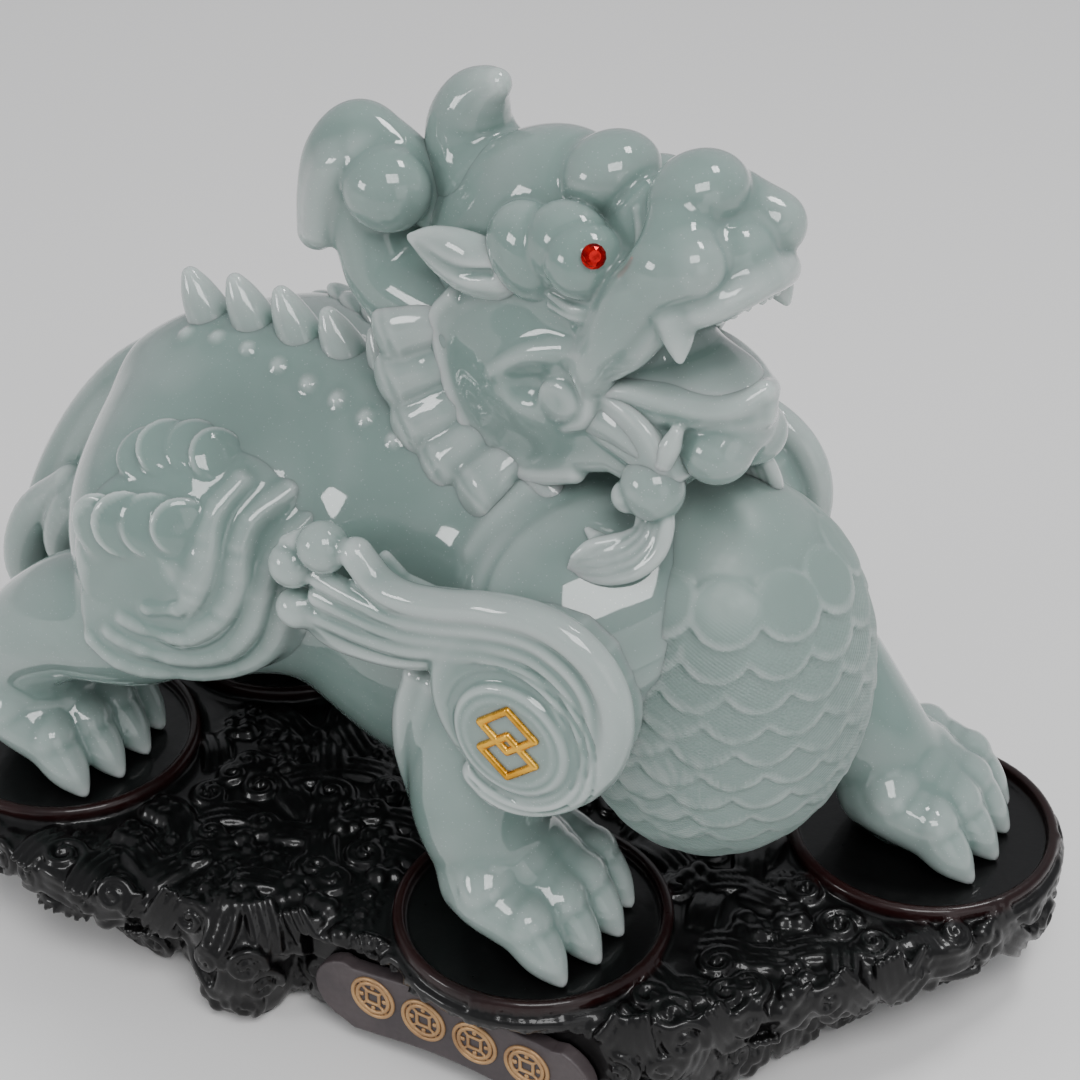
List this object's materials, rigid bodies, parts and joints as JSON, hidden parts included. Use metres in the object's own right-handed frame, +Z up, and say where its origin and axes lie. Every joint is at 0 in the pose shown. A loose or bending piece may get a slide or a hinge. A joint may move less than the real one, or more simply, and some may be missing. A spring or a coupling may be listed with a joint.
{
  "type": "foo dog statue",
  "caption": "Horned, winged guardian beast in polished pale green resin, roaring with its head turned, lifting off a carved black stand with a small plaque.",
  "frame": {"origin": "on the table, under the middle of the stand", "axes": "+X the way the beast's body faces, -Y the side with the plaque (the beast's right flank), +Z up"},
  "size_m": [0.254, 0.14, 0.2148],
  "materials": {
    "jade_resin": "polished translucent pale green resin",
    "frosted_jade_resin": "satin pale green resin with fine stipple",
    "black_lacquer": "gloss black lacquer over carved resin",
    "plaque_brown": "satin",
    "gold_print": "brushed gold",
    "red_crystal": "faceted foil-backed crystal",
    "felt": "felt"
  },
  "bodies": {
    "stand": {"stand": "black_lacquer", "plaque": "plaque_brown", "plaque_emblem": "gold_print", "felt_pads": "felt"},
    "figure": {"torso": "jade_resin", "chest_scales": "frosted_jade_resin", "leg_front_right": "jade_resin", "leg_front_left": "jade_resin", "leg_rear_right": "jade_resin", "leg_rear_left": "jade_resin", "haunch_flame_right": "jade_resin", "haunch_flame_left": "jade_resin", "spine_crest": "jade_resin", "tail": "jade_resin", "wing_scroll_right": "jade_resin", "wing_scroll_left": "jade_resin", "emblem_right": "gold_print", "emblem_left": "gold_print", "head": "jade_resin", "lower_jaw": "jade_resin", "tongue": "jade_resin", "horn": "jade_resin", "ear_right": "jade_resin", "ear_left": "jade_resin", "mane_curl": "jade_resin", "mane_fan_right": "jade_resin", "mane_fan_left": "jade_resin", "beard_right": "jade_resin", "beard_left": "jade_resin", "eye_gem_right": "red_crystal", "eye_gem_left": "red_crystal"}
  },
  "joints": [
    {"name": "lift_off", "type": "slide", "parent": "stand", "child": "figure", "axis": [0, 0, 1], "range_m": [0, 0.06]}
  ]
}
